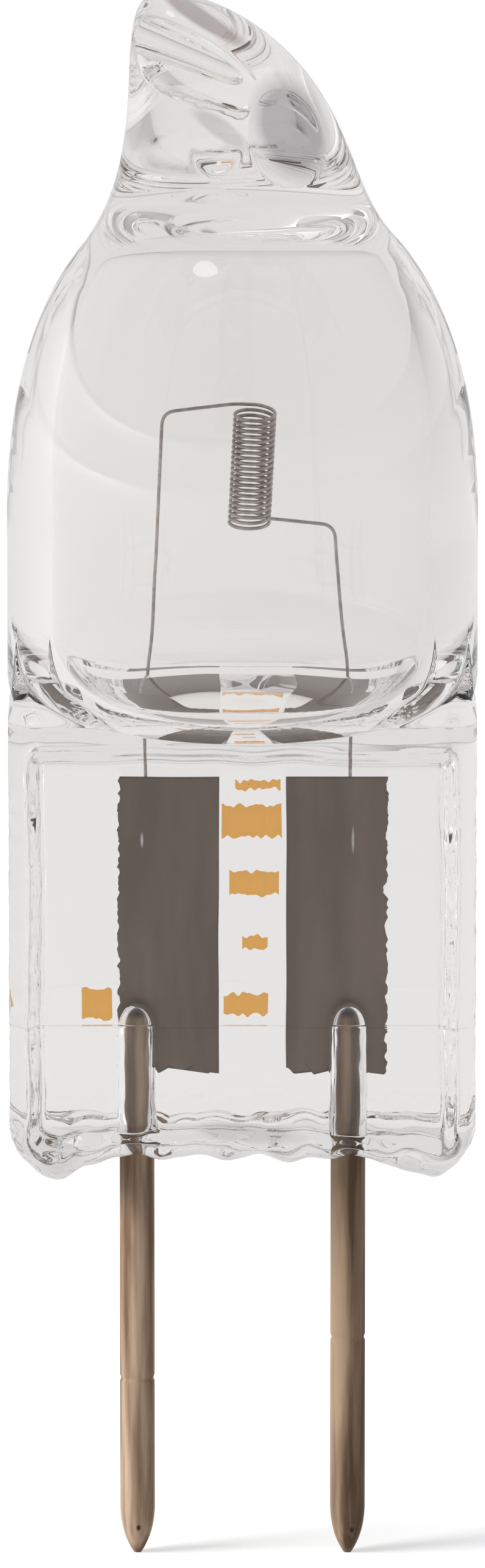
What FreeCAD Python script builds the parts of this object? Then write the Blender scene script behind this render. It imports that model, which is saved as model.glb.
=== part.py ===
import FreeCAD, Part
import math
import os

from FreeCAD import Placement, Rotation, Vector

# Halogen capsule bulb with two pins, in millimetres.
# +Z runs along the bulb towards its sealed tip, X runs through both pins, and the front is at -Y.
# The origin lies midway between the pins, where they leave the glass.

# Driving sizes of the pins
PIN_SPACING = 4.0
PIN_DIAMETER = 0.66
PIN_LENGTH_OUTSIDE = 7.95
PIN_LENGTH_INSIDE = 2.9
PIN_NOSE_LENGTH = 0.9
PIN_END_FLAT_DIAMETER = 0.14
PIN_INNER_ROUNDING = 0.55
NOSE_BEND_WIDTH_SHARE = 0.78
NOSE_BEND_HEIGHT_SHARE = 0.45
RING_WIDTH = 0.14
RING_DEPTH = 0.025
RING_LEFT_ABOVE_TIP = 3.45
RING_RIGHT_ABOVE_TIP = 4.25

# Driving sizes of the tube and the dome
TUBE_DIAMETER = 8.86
WALL = 0.84
TUBE_LENGTH = 3.58
FLOOR_THICKNESS = 0.38
BOWL_RADIUS = 1.9
DOME_FULL_HEIGHT = 6.7
DOME_SQUARENESS = 2.3
DOME_WALL = 0.62
CROWN_LENGTH = 4.6
CROWN_DEPTH = 4.2
CROWN_HEIGHT = 0.3
ROOF_ABOVE_NECK = 0.05
ROOF_ROUNDING = 0.8
DOME_POINTS = 7

# Driving sizes of the sealed exhaust tip
NECK_DIAMETER = 5.96
TIP_LENGTH = 4.7
TIP_WIDTH = 3.85
TIP_LEAN = 0.9
TIP_LEAN_CURVE = 2.8
TIP_TILT = 16.0
TIP_FLATTENING = 0.32
TIP_BLUNTNESS = 4
TIP_END_CURVE = 0.4
TIP_SECTION_SHARES = (0, 0.06, 0.14, 0.26, 0.42, 0.6, 0.76, 0.88, 0.96, 0.995)
NIP_RADIUS = 0.7
NIP_DEPTH = 0.16
DENT_RADIUS = 1.2
DENT_DEPTH = 0.45
FOLD_RADIUS = 0.9
FOLD_DEPTH = 0.18
BORE_BASE_DIAMETER = 2.6
BORE_LENGTH = 0.9
BORE_LEAN = 0.5
BORE_SECTION_SHARES = (0, 0.3, 0.6, 0.85, 0.97)

# Places on the tip: a share of its length and a share of its half width there
NIP_START = (0.86, -0.84)
NIP_END = (0.71, 0.25)
DENT_PLACE = (0.56, 0.52)
FOLD_PLACE = (0.53, -0.17)

# Driving sizes of the press seal
SEAL_HEIGHT = 8.52
SEAL_WIDTH = 8.82
RAIL_THICKNESS = 3.1
RAIL_WIDTH = 0.5
RAIL_ROUNDING = 0.55
PANEL_THICKNESS = 2.5
PANEL_SLOPE_WIDTH = 0.15
PANEL_BOTTOM_BORDER = 0.45
PANEL_TOP_BORDER = 0.6
LOBE_DROP = 0.42
LOBE_WIDTH = 2.1
LOBE_LOW_SHARE = 0.4
WEB_THICKNESS = 2.2
SHOULDER_ROUNDING = 0.4
SHOULDER_BOWL_SHARE = 0.7

# Driving sizes of the foils
FOIL_WIDTH = 1.93
FOIL_THICKNESS = 0.03
FOIL_EDGE_THICKNESS = 0.008
FOIL_BEVEL_WIDTH = 0.25
FOIL_BELOW_TUBE = 1.24
FOIL_LEFT_INSET = 0.59
FOIL_RIGHT_INSET = 0.21

# Driving sizes of the filament
WIRE_DIAMETER = 0.064
COIL_DIAMETER = 0.82
COIL_PITCH = 0.104
COIL_TURNS = 21
COIL_ABOVE_FLOOR = 3.14
COIL_OFFSET = 0.125
COIL_LEAN_RIGHT = 3.0
COIL_LEAN_FRONT = 6.0
LEG_BEND_RADIUS = 0.25
LEG_BEND_ROOM_SHARE = 0.45
LEG_DROP = 0.14
LEG_LEFT_ON_FOIL = -0.41
LEG_LEFT_TOP_INSET = 0.3
LEG_LEFT_KINK_INSET = 0.1
LEG_LEFT_KINK_HEIGHT = 1.0
LEG_RIGHT_ON_FOIL = 0.24
LEG_RIGHT_TOP_INSET = 0.27
LEG_RIGHT_KINK_INSET = 0.17
LEG_RIGHT_KINK_HEIGHT = 1.5
LEG_FLOOR_SPREAD = 0.04

# Clearances, and how deep and long the welds are
CHANNEL_GAP = 0.06
LIP_GAP = 0.01
LIP_HEIGHT = 0.2
PIN_WELD_DEPTH = 0.05
PIN_WELD_LENGTH = 1.42
LEG_WELD_DEPTH = 0.012
LEG_WELD_LENGTH = 1.2

# Derived sizes
PIN_RADIUS = PIN_DIAMETER / 2
TUBE_RADIUS = TUBE_DIAMETER / 2
CAVITY_RADIUS = TUBE_RADIUS - WALL
CAVITY_FLOOR = SEAL_HEIGHT + FLOOR_THICKNESS
DOME_START = SEAL_HEIGHT + TUBE_LENGTH
NECK_RADIUS = NECK_DIAMETER / 2
NECK_SHARE = (1 - (NECK_RADIUS / TUBE_RADIUS) ** DOME_SQUARENESS) ** (1 / DOME_SQUARENESS)
NECK_HEIGHT = DOME_START + DOME_FULL_HEIGHT * NECK_SHARE
CAVITY_TOP = NECK_HEIGHT + ROOF_ABOVE_NECK
FOIL_FRONT = PIN_RADIUS - PIN_WELD_DEPTH
FOIL_MIDDLE = FOIL_FRONT + FOIL_THICKNESS / 2
FOIL_BACK = FOIL_FRONT + FOIL_THICKNESS
FOIL_TOP = SEAL_HEIGHT - FOIL_BELOW_TUBE
FOIL_BOTTOM = PIN_LENGTH_INSIDE - PIN_WELD_LENGTH
FOIL_LEFT_X = -PIN_SPACING / 2 + FOIL_LEFT_INSET
FOIL_RIGHT_X = PIN_SPACING / 2 - FOIL_RIGHT_INSET
WIRE_RADIUS = WIRE_DIAMETER / 2
COIL_RADIUS = COIL_DIAMETER / 2 - WIRE_RADIUS
COIL_LENGTH = COIL_PITCH * COIL_TURNS
LEG_DEPTH = FOIL_BACK + WIRE_RADIUS - LEG_WELD_DEPTH
LEG_END = FOIL_TOP - LEG_WELD_LENGTH
FAR = 2 * TUBE_DIAMETER


def polyline(points):
    return [Part.makeLine(a, b) for a, b in zip(points, points[1:])]


def smooth_curve(points):
    curve = Part.BSplineCurve()
    curve.interpolate(points)
    return curve.toShape()


def revolved(edges):
    face = Part.Face(Part.Wire(edges))
    return face.revolve(Vector(), Vector(0, 0, 1), 360)


def extruded(edges, direction):
    return Part.Face(Part.Wire(edges)).extrude(direction)


def dome_radius(height):
    share = (height - DOME_START) / DOME_FULL_HEIGHT
    fall = 1 - share ** DOME_SQUARENESS
    return TUBE_RADIUS * fall ** (1 / DOME_SQUARENESS)


def dome_slope(height):
    # How fast the dome narrows with height.
    step = WALL / 100
    return (dome_radius(height - step) - dome_radius(height + step)) / (2 * step)


def dome_curve(top, inset):
    # The dome's profile up to a height, moved in by an inset that depends on the share of that height.
    points = []
    for i in range(DOME_POINTS):
        share = i / (DOME_POINTS - 1)
        height = DOME_START + share * (top - DOME_START)
        points.append(Vector(dome_radius(height) - inset(share), 0, height))
    return points


def bowl_edges(radius, floor, rounding):
    # The profile from the axis along a flat floor and up round its corner.
    diagonal = rounding * math.sqrt(0.5)
    inner = radius - rounding
    corner = floor + rounding
    floor_edge = Vector(inner, 0, floor)
    wall_start = Vector(radius, 0, corner)
    bend = Part.Arc(floor_edge, Vector(inner + diagonal, 0, corner - diagonal), wall_start)
    return [Part.makeLine(Vector(0, 0, floor), floor_edge), bend.toShape()], wall_start


def tube_outside():
    edges, wall_start = bowl_edges(TUBE_RADIUS, SEAL_HEIGHT, BOWL_RADIUS)
    dome = dome_curve(NECK_HEIGHT, lambda share: 0)
    edges += polyline([wall_start, dome[0]])
    edges.append(smooth_curve(dome))
    edges += polyline([dome[-1], Vector(0, 0, NECK_HEIGHT), Vector(0, 0, SEAL_HEIGHT)])
    return revolved(edges)


def cavity():
    edges, wall_start = bowl_edges(CAVITY_RADIUS, CAVITY_FLOOR, BOWL_RADIUS - FLOOR_THICKNESS)
    dome = dome_curve(CAVITY_TOP - ROOF_ROUNDING, lambda share: WALL + (DOME_WALL - WALL) * share)
    slope = (dome[-1] - dome[-2]).normalize()
    roof_edge = Vector(dome[-1].x - ROOF_ROUNDING, 0, CAVITY_TOP)
    roof_corner = dome[-1] + slope * ((CAVITY_TOP - dome[-1].z) / slope.z)
    roof = Part.BezierCurve()
    roof.setPoles([dome[-1], roof_corner, roof_edge])
    edges += polyline([wall_start, dome[0]])
    edges += [smooth_curve(dome), roof.toShape()]
    edges += polyline([roof_edge, Vector(0, 0, CAVITY_TOP), Vector(0, 0, CAVITY_FLOOR)])
    return revolved(edges)


def floor_crown():
    # The low mound that the press pushes up in the middle of the cavity floor.
    stretch = FreeCAD.Matrix()
    stretch.scale(CROWN_LENGTH / 2, CROWN_DEPTH / 2, CROWN_HEIGHT)
    mound = Part.makeSphere(1).transformGeometry(stretch)
    mound.translate(Vector(0, 0, CAVITY_FLOOR))
    return mound


def bore_remnant():
    # What is left of the exhaust bore: a leaning cone with a round point.
    start = CAVITY_TOP - WALL / 2
    length = BORE_LENGTH + WALL / 2
    sections = []
    for share in BORE_SECTION_SHARES:
        radius = BORE_BASE_DIAMETER / 2 * math.sqrt(1 - share)
        centre = Vector(-BORE_LEAN * share, 0, start + length * share)
        sections.append(Part.Wire(Part.makeCircle(radius, centre)))
    return Part.makeLoft(sections, True)


def tip_centre(share):
    return Vector(-TIP_LEAN * share ** TIP_LEAN_CURVE, 0, NECK_HEIGHT + TIP_LENGTH * share)


def tip_half_sizes(share):
    # The neck flares into the dome with the dome's own slope, and the end rounds off.
    flare = NECK_RADIUS - TIP_WIDTH / 2
    rate = dome_slope(NECK_HEIGHT) * TIP_LENGTH / flare
    rounded = TIP_WIDTH / 2 * (1 - share ** TIP_BLUNTNESS) ** TIP_END_CURVE
    half_width = rounded + flare * math.exp(-rate * share)
    return half_width, half_width * (1 - TIP_FLATTENING * share)


def tip_section(share):
    # One ellipse of the tip, tilted more towards the end.
    half_width, half_depth = tip_half_sizes(share)
    wire = Part.Wire(Part.Ellipse(Vector(), half_width, half_depth).toShape())
    wire.Placement = Placement(tip_centre(share), Rotation(Vector(0, 1, 0), TIP_TILT * share))
    return wire


def tip_surface(place, side):
    # A place on the front (side -1) or back of the tip, and the direction straight out from it.
    share, across = place
    half_width, half_depth = tip_half_sizes(share)
    level = side * math.sqrt(1 - across ** 2)
    surface = tip_centre(share) + Vector(across * half_width, level * half_depth, 0)
    return surface, Vector(across / half_width, level / half_depth, 0).normalize()


def nip_mark(side):
    # The groove that the closing jaw left along the slanted top of the tip.
    start, start_outward = tip_surface(NIP_START, side)
    end, end_outward = tip_surface(NIP_END, side)
    away = (start_outward + end_outward).normalize() * (NIP_RADIUS - NIP_DEPTH)
    run = end - start
    groove = Part.makeCylinder(NIP_RADIUS, 2 * run.Length, start + away - run, run)
    return groove.fuse(Part.makeSphere(NIP_RADIUS, end + away))


def dent(place, radius, depth):
    # A round hollow in the front of the tip.
    surface, outward = tip_surface(place, -1)
    return Part.makeSphere(radius, surface + outward * (radius - depth))


def exhaust_tip():
    tip = Part.makeLoft([tip_section(share) for share in TIP_SECTION_SHARES], True)
    hollows = [nip_mark(-1), nip_mark(1)]
    hollows.append(dent(DENT_PLACE, DENT_RADIUS, DENT_DEPTH))
    hollows.append(dent(FOLD_PLACE, FOLD_RADIUS, FOLD_DEPTH))
    return tip.cut(hollows)


def seal_front_outline():
    # The seal from the front: straight sides, and a bottom with a lobe under each rail.
    half = SEAL_WIDTH / 2
    lobe_end = half - LOBE_WIDTH
    lobe_middle = half - LOBE_LOW_SHARE * LOBE_WIDTH
    side_low = Vector(half, 0, LOBE_DROP)
    lobe_low = Vector(lobe_middle, 0, -LOBE_DROP)
    flat_end = Vector(lobe_end, 0, 0)
    edges = []
    for side in (-1, 1):
        points = [Vector(side * p.x, 0, p.z) for p in (side_low, lobe_low, flat_end)]
        edges.append(Part.Arc(*points).toShape())
    edges += polyline([Vector(-lobe_end, 0, 0), flat_end])
    edges += polyline([Vector(-half, 0, LOBE_DROP), Vector(-half, 0, FAR), Vector(half, 0, FAR), side_low])
    prism = extruded(Part.sortEdges(edges)[0], Vector(0, FAR, 0))
    prism.translate(Vector(0, -FAR / 2, 0))
    return prism


def rounded_bar(width, thickness, rounding, low, high):
    # An upright bar with rounded upright edges.
    bar = Part.makeBox(width, thickness, high - low, Vector(-width / 2, -thickness / 2, low))
    uprights = [edge for edge in bar.Edges if edge.BoundBox.ZLength > thickness / 2]
    return bar.makeFillet(rounding, uprights)


def seal_side_outline():
    # The seal from the side: a bar along X with round lower edges and softened upper edges.
    low = -LOBE_DROP
    high = SEAL_HEIGHT + FLOOR_THICKNESS / 2
    bar = Part.makeBox(FAR, RAIL_THICKNESS, high - low, Vector(-FAR / 2, -RAIL_THICKNESS / 2, low))
    lengthwise = [edge for edge in bar.Edges if edge.BoundBox.XLength > FAR / 2]
    lower = [edge for edge in lengthwise if edge.BoundBox.ZMax < (low + high) / 2]
    bar = bar.makeFillet(RAIL_ROUNDING, lower)
    lengthwise = [edge for edge in bar.Edges if edge.BoundBox.XLength > FAR / 2]
    upper = [edge for edge in lengthwise if edge.BoundBox.ZMin > high - FLOOR_THICKNESS / 4]
    return bar.makeFillet(FLOOR_THICKNESS / 4, upper)


def panel_recess(side):
    # The sunk field between the rails, with a slope all round.
    sink = (RAIL_THICKNESS - PANEL_THICKNESS) / 2
    rectangles = []
    for depth, inset in ((0, PANEL_SLOPE_WIDTH), (2 * sink, -PANEL_SLOPE_WIDTH)):
        y = side * (PANEL_THICKNESS / 2 + depth)
        right = SEAL_WIDTH / 2 - RAIL_WIDTH - inset
        low = PANEL_BOTTOM_BORDER + inset
        high = SEAL_HEIGHT - PANEL_TOP_BORDER - inset
        corners = [(-right, low), (right, low), (right, high), (-right, high), (-right, low)]
        rectangles.append(Part.makePolygon([Vector(x, y, z) for x, z in corners]))
    return Part.makeLoft(rectangles, True, True)


def shoulder_bead(side):
    # The rounded inside corner between the tube floor and the face of the seal.
    size = SHOULDER_ROUNDING
    face = RAIL_THICKNESS / 2
    edge = face if side > 0 else -face - size
    low = SEAL_HEIGHT - size
    bead = Part.makeBox(FAR, size, 2 * size, Vector(-FAR / 2, edge, low))
    hollow = Part.makeCylinder(size, FAR, Vector(-FAR / 2, side * (face + size), low), Vector(1, 0, 0))
    under_floor = Part.makeCylinder(TUBE_RADIUS - SHOULDER_BOWL_SHARE * BOWL_RADIUS, FAR)
    return bead.cut(hollow).common(under_floor)


def press_seal():
    block = rounded_bar(SEAL_WIDTH, RAIL_THICKNESS, RAIL_ROUNDING, -FAR, FAR)
    block = block.common(seal_front_outline()).common(seal_side_outline())
    block = block.cut([panel_recess(-1), panel_recess(1)])
    web_width = 2 * math.sqrt(TUBE_RADIUS ** 2 - (WEB_THICKNESS / 2) ** 2)
    web_low = SEAL_HEIGHT - FLOOR_THICKNESS
    web_high = SEAL_HEIGHT + BOWL_RADIUS + FLOOR_THICKNESS / 2
    web = rounded_bar(web_width, WEB_THICKNESS, WEB_THICKNESS / 4, web_low, web_high)
    return block.fuse([web, shoulder_bead(-1), shoulder_bead(1)])


def domed_end(radius, height):
    # The profile of the rounded upper end of a rod.
    top = Vector(0, 0, height)
    shoulder = top + Vector(radius, 0, -PIN_INNER_ROUNDING)
    bend_height = NOSE_BEND_HEIGHT_SHARE * PIN_INNER_ROUNDING
    bend = top + Vector(NOSE_BEND_WIDTH_SHARE * radius, 0, -bend_height)
    return shoulder, Part.Arc(shoulder, bend, top).toShape(), top


def pin(side, ring_above_tip):
    # A round pin with a bullet nose, a shallow ring mark and a domed inner end.
    tip = Vector(0, 0, -PIN_LENGTH_OUTSIDE)
    flat_edge = tip + Vector(PIN_END_FLAT_DIAMETER / 2, 0, 0)
    bend_place = Vector(NOSE_BEND_WIDTH_SHARE * PIN_RADIUS, 0, NOSE_BEND_HEIGHT_SHARE * PIN_NOSE_LENGTH)
    bend = tip + bend_place
    nose_end = tip + Vector(PIN_RADIUS, 0, PIN_NOSE_LENGTH)
    ring = tip + Vector(PIN_RADIUS - RING_DEPTH, 0, ring_above_tip)
    ring_low = ring + Vector(RING_DEPTH, 0, -RING_WIDTH / 2)
    ring_high = ring + Vector(RING_DEPTH, 0, RING_WIDTH / 2)
    shoulder, dome, top = domed_end(PIN_RADIUS, PIN_LENGTH_INSIDE)
    edges = [Part.makeLine(tip, flat_edge), Part.Arc(flat_edge, bend, nose_end).toShape()]
    edges += polyline([nose_end, ring_low, ring, ring_high, shoulder])
    edges += [dome, Part.makeLine(top, tip)]
    body = revolved(edges)
    body.translate(Vector(side * PIN_SPACING / 2, 0, 0))
    return body


def pin_channel(side):
    # The narrow gap that the cooling glass leaves around a pin, closer at the mouth.
    x = side * PIN_SPACING / 2
    below = Vector(x, 0, -2 * LOBE_DROP)
    mouth = Part.makeCylinder(PIN_RADIUS + LIP_GAP, LIP_HEIGHT + 2 * LOBE_DROP, below)
    radius = PIN_RADIUS + CHANNEL_GAP
    shoulder, dome, top = domed_end(radius, PIN_LENGTH_INSIDE + CHANNEL_GAP)
    low = Vector(0, 0, LIP_HEIGHT)
    edges = polyline([top, low, low + Vector(radius, 0, 0), shoulder])
    bore = revolved(edges + [dome])
    bore.translate(Vector(x, 0, 0))
    return mouth.fuse(bore)


def foil(x_middle):
    # A thin strip with feathered long edges.
    half = FOIL_WIDTH / 2
    field = half - FOIL_BEVEL_WIDTH
    thick = FOIL_THICKNESS / 2
    thin = FOIL_EDGE_THICKNESS / 2
    front = [(-half, -thin), (-field, -thick), (field, -thick), (half, -thin)]
    back = [(x, -y) for x, y in reversed(front)]
    points = [Vector(x_middle + x, FOIL_MIDDLE + y, FOIL_BOTTOM) for x, y in front + back]
    return extruded(polyline(points + points[:1]), Vector(0, 0, FOIL_TOP - FOIL_BOTTOM))


def rounded_path(points, radius):
    # Straight runs joined by tangent arcs of one radius, shortened where a run is too short.
    edges = []
    start = points[0]
    for before, corner, after in zip(points, points[1:], points[2:]):
        back = (before - corner).normalize()
        ahead = (after - corner).normalize()
        half_angle = back.getAngle(ahead) / 2
        room = LEG_BEND_ROOM_SHARE * min((before - corner).Length, (after - corner).Length)
        reach = min(radius / math.tan(half_angle), room)
        bisector = (back + ahead).normalize()
        middle = corner + bisector * (reach / math.cos(half_angle) - reach * math.tan(half_angle))
        arc_start = corner + back * reach
        arc_end = corner + ahead * reach
        edges.append(Part.makeLine(start, arc_start))
        edges.append(Part.Arc(arc_start, middle, arc_end).toShape())
        start = arc_end
    edges.append(Part.makeLine(start, points[-1]))
    return Part.Wire(edges)


def swept_wire(path):
    start = path.Edges[0]
    direction = start.tangentAt(start.FirstParameter)
    ring = Part.makeCircle(WIRE_RADIUS, start.valueAt(start.FirstParameter), direction)
    return path.makePipeShell([Part.Wire(ring)], True, False)


def coil_placement():
    lean = Rotation(Vector(0, 1, 0), COIL_LEAN_RIGHT) * Rotation(Vector(1, 0, 0), COIL_LEAN_FRONT)
    return Placement(Vector(COIL_OFFSET, 0, CAVITY_FLOOR + COIL_ABOVE_FLOOR), lean)


def coil():
    # The turns start and end at the back.
    spiral = Part.makeHelix(COIL_PITCH, COIL_LENGTH, COIL_RADIUS)
    along = Vector(0, COIL_RADIUS, COIL_PITCH / (2 * math.pi))
    ring = Part.Wire(Part.makeCircle(WIRE_RADIUS, Vector(COIL_RADIUS, 0, 0), along))
    body = Part.Wire(spiral.Edges).makePipeShell([ring], True, True)
    quarter_turn = Placement(Vector(), Rotation(Vector(0, 0, 1), 90))
    body.Placement = coil_placement() * quarter_turn
    return body


def coil_end(height):
    # Where the wire leaves the coil, and the direction that the turns run there.
    place = coil_placement()
    along = Vector(-COIL_RADIUS, 0, COIL_PITCH / (2 * math.pi)).normalize()
    return place.multVec(Vector(0, COIL_RADIUS, height)), place.Rotation.multVec(along)


def leg(start, run, foil_x, outward, top_inset, kink_inset, kink_height):
    # From the coil sideways, down to the floor, into the seal and along the foil.
    top = Vector(foil_x - outward * top_inset, start.y, start.z - LEG_DROP)
    kink = Vector(foil_x - outward * kink_inset, LEG_DEPTH, CAVITY_FLOOR + kink_height)
    floor = Vector(foil_x + outward * LEG_FLOOR_SPREAD, LEG_DEPTH, CAVITY_FLOOR)
    foil_edge = Vector(foil_x, LEG_DEPTH, FOIL_TOP)
    end = Vector(foil_x, LEG_DEPTH, LEG_END)
    points = [start, start + run * COIL_RADIUS, top, kink, floor, foil_edge, end]
    return swept_wire(rounded_path(points, LEG_BEND_RADIUS))


def leg_left():
    start, run = coil_end(COIL_LENGTH)
    foil_x = FOIL_LEFT_X + LEG_LEFT_ON_FOIL
    return leg(start, run, foil_x, -1, LEG_LEFT_TOP_INSET, LEG_LEFT_KINK_INSET, LEG_LEFT_KINK_HEIGHT)


def leg_right():
    start, run = coil_end(0)
    foil_x = FOIL_RIGHT_X + LEG_RIGHT_ON_FOIL
    return leg(start, -run, foil_x, 1, LEG_RIGHT_TOP_INSET, LEG_RIGHT_KINK_INSET, LEG_RIGHT_KINK_HEIGHT)


def filament(left_leg, right_leg, foils):
    # The legs are flattened where they are welded to the foils.
    return coil().fuse([left_leg, right_leg]).cut(foils).removeSplitter()


def glass_envelope(inner_pieces):
    body = tube_outside().fuse([exhaust_tip(), press_seal()])
    body = body.cut(cavity().cut(floor_crown()).fuse(bore_remnant()))
    body = body.cut([pin_channel(-1), pin_channel(1)])
    return body.cut(inner_pieces)


def write(shape, name):
    if len(shape.Solids) != 1 or not shape.isValid():
        raise ValueError("%s is not one valid solid" % name)
    shape.Solids[0].exportStep("parts/%s.step" % name)


def main():
    os.makedirs("parts", exist_ok=True)
    foil_left = foil(FOIL_LEFT_X)
    foil_right = foil(FOIL_RIGHT_X)
    foils = [foil_left, foil_right]
    left_leg = leg_left()
    right_leg = leg_right()
    write(pin(-1, RING_LEFT_ABOVE_TIP).cut(foils), "pin_left")
    write(pin(1, RING_RIGHT_ABOVE_TIP).cut(foils), "pin_right")
    write(foil_left, "foil_left")
    write(foil_right, "foil_right")
    write(filament(left_leg, right_leg, foils), "filament")
    write(glass_envelope(foils + [left_leg, right_leg]), "glass_envelope")


main()
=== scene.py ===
import math

import bpy
import numpy as np
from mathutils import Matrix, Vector, noise


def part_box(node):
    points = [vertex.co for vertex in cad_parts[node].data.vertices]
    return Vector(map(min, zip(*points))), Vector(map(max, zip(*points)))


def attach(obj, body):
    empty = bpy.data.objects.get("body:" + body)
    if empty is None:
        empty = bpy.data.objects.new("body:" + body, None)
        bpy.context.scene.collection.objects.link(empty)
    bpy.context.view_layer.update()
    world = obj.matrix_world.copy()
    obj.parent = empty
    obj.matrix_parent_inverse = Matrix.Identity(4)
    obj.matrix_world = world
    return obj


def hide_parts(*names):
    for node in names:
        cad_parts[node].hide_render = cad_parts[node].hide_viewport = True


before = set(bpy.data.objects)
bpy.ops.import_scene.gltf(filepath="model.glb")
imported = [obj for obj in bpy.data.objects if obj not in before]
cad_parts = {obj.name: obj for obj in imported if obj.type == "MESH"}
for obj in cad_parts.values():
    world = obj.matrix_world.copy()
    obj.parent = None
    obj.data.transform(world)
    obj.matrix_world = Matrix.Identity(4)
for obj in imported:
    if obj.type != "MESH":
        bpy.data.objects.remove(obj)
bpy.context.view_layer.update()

# Halogen capsule bulb. The sizes below are in millimetres and the meshes are made in metres.
# +Z runs along the bulb towards its sealed tip, X runs through both pins, and the front is at -Y.
MM = 0.001


def box_mm(node):
    low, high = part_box(node)
    return low / MM, high / MM


# Sizes taken from the frame
GLASS_LOW, GLASS_HIGH = box_mm("glass_envelope")
PIN_LOW, PIN_HIGH = box_mm("pin_right")
FOIL_LOW, FOIL_HIGH = box_mm("foil_right")
FOIL_LEFT_LOW, FOIL_LEFT_HIGH = box_mm("foil_left")
TUBE_RADIUS = (GLASS_HIGH.x - GLASS_LOW.x) / 2
LOBE_DROP = -GLASS_LOW.z
PIN_RADIUS = (PIN_HIGH.x - PIN_LOW.x) / 2
PIN_X = (PIN_HIGH.x + PIN_LOW.x) / 2
PIN_TIP = PIN_LOW.z
PIN_TOP = PIN_HIGH.z
FOIL_FRONT = FOIL_LOW.y
FOIL_BACK = FOIL_HIGH.y
FOIL_BOTTOM = FOIL_LOW.z
FOIL_TOP = FOIL_HIGH.z
FOIL_HALF_WIDTH = (FOIL_HIGH.x - FOIL_LOW.x) / 2
FOIL_RIGHT_X = (FOIL_HIGH.x + FOIL_LOW.x) / 2
FOIL_LEFT_X = (FOIL_LEFT_HIGH.x + FOIL_LEFT_LOW.x) / 2

# Seal
SEAL_HEIGHT = 8.52
SEAL_HALF_WIDTH = 4.41
RAIL_HALF_DEPTH = 1.55
RAIL_WIDTH = 0.5
RAIL_ROUNDING = 0.55
PANEL_HALF_DEPTH = 1.25
PANEL_SLOPE = 0.15
PANEL_BOTTOM_BORDER = 0.45
PANEL_TOP_BORDER = 0.6
LOBE_WIDTH = 2.1
LOBE_LOW_SHARE = 0.4
LOBE_FADE_HEIGHT = 2.5
LEAST_DEPTH_SHARE = 0.2
WEB_HALF_DEPTH = 1.1
SHOULDER_BLEND = 0.8
SHOULDER_RUN = 0.1
SHOULDER_START_RADIUS = 1.0

# Waves and rough edges of the seal. Fineness is about how many waves fit in a millimetre.
PANEL_SIDE_WAVER = 0.05
PANEL_SIDE_FINENESS = 1.3
PANEL_END_WAVER = 0.1
PANEL_END_FINENESS = 0.9
PANEL_WAVES = 0.02
PANEL_WAVES_FINENESS = 0.8
EDGE_ROUGHNESS = 0.14
EDGE_ROUGH_TO = 0.2
EDGE_SMOOTH_FROM = 1.1
EDGE_DEPTH_FINENESS = 2.2
EDGE_HEIGHT_FINENESS = 1.7
EDGE_LIFT_SHARE = 0.5
RAIL_ROUGHNESS = 0.1
RAIL_FINENESS = 2.7
JAW_LINE_HEIGHT = 2.67
JAW_LINE_WIDTH = 0.02
JAW_LINE_DEPTH = 0.03
JAW_LINE_REACH = 2
SIDE_SEED = 9.7

# Tube, dome and cavity
WALL = 0.84
TUBE_LENGTH = 3.58
FLOOR_THICKNESS = 0.38
CROWN_HEIGHT = 0.3
CROWN_HALF_LENGTH = 2.9
CROWN_FLAT_SHARE = 0.2
CROWN_BLUNTNESS = 5
CROWN_HALF_DEPTH = 2.1
BOWL_RADIUS = 1.9
BOWL_FULLNESS = 2.5
DOME_FULL_HEIGHT = 6.7
DOME_SQUARENESS = 2.3
DOME_WALL = 0.62
ROOF_ABOVE_NECK = 0.05
ROOF_ROUNDING = 0.8
ROOF_RISE = 0.7
ROOF_FLAT_RADIUS = 0.5
CAVITY_RADIUS = TUBE_RADIUS - WALL
CAVITY_FLOOR = SEAL_HEIGHT + FLOOR_THICKNESS
CAVITY_MIDDLE_SHARE = 0.04
DOME_START = SEAL_HEIGHT + TUBE_LENGTH

# Sealed tip
NECK_RADIUS = 2.98
TIP_LENGTH = 4.7
TIP_WIDTH = 3.85
TIP_LEAN = 0.9
TIP_LEAN_CURVE = 2.8
TIP_TILT = math.radians(16)
TIP_FLATTENING = 0.32
TIP_BLUNTNESS = 4
TIP_END_CURVE = 0.4
TIP_END_SHARE = 0.995
NIP_RADIUS = 0.7
NIP_DEPTH = 0.16
DENT_RADIUS = 1.2
DENT_DEPTH = 0.45
FOLD_RADIUS = 0.9
FOLD_DEPTH = 0.18
DENT_BLEND = 0.05
OUTSIDE_DENT = -100
BORE_LENGTH = 0.9
BORE_LEAN = 0.5
BORE_LEAN_CURVE = 3
NECK_SHARE = (1 - (NECK_RADIUS / TUBE_RADIUS) ** DOME_SQUARENESS) ** (1 / DOME_SQUARENESS)
NECK_HEIGHT = DOME_START + DOME_FULL_HEIGHT * NECK_SHARE
CAVITY_TOP = NECK_HEIGHT + ROOF_ABOVE_NECK
ROOF_CREST = CAVITY_TOP + ROOF_RISE

# Places on the tip: a share of its length and a share of its half width there
NIP_START = (0.86, -0.84)
NIP_END = (0.71, 0.25)
DENT_PLACE = (0.56, 0.52)
FOLD_PLACE = (0.53, -0.17)

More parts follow.
